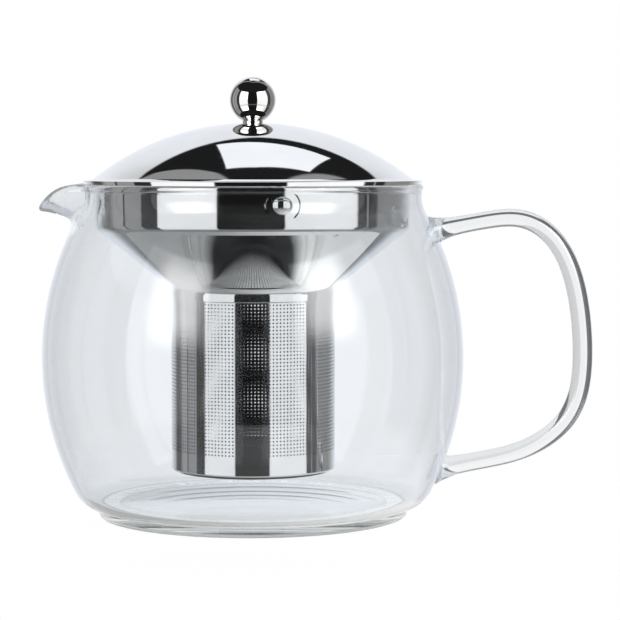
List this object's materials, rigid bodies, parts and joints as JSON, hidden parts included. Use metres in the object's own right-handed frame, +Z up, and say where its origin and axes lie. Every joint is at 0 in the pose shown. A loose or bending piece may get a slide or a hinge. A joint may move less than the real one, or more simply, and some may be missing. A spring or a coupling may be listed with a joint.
{
  "type": "glass teapot",
  "caption": "Clear globe teapot with a pulled pouring lip and rod handle, a lift-out steel funnel infuser with a perforated sleeve, and a loose domed steel lid with a ball knob.",
  "frame": {"origin": "centre of the standing ring under the pot, on the table", "axes": "+Z up along the pot's axis, +X towards the handle, -X towards the pouring lip"},
  "size_m": [0.1846, 0.1404, 0.1462],
  "materials": {
    "clear_glass": "fire-polished",
    "polished_steel": "mirror polished",
    "perforated_steel": "mirror polished sheet, perforated",
    "fixing_steel": "plain"
  },
  "bodies": {
    "pot": {"glass_pot": "clear_glass", "glass_handle": "clear_glass"},
    "infuser": {"infuser_funnel": "polished_steel", "infuser_sleeve": "perforated_steel", "infuser_base": "polished_steel"},
    "lid": {"lid_dome": "polished_steel", "lid_skirt": "polished_steel", "lid_knob": "polished_steel", "knob_washer": "fixing_steel", "knob_screw": "fixing_steel"}
  },
  "joints": [
    {"name": "infuser_lift", "type": "slide", "parent": "pot", "child": "infuser", "axis": [0, 0, 1], "range_m": [0, 0.11]},
    {"name": "lid_lift", "type": "slide", "parent": "infuser", "child": "lid", "axis": [0, 0, 1], "range_m": [0, 0.06]}
  ]
}
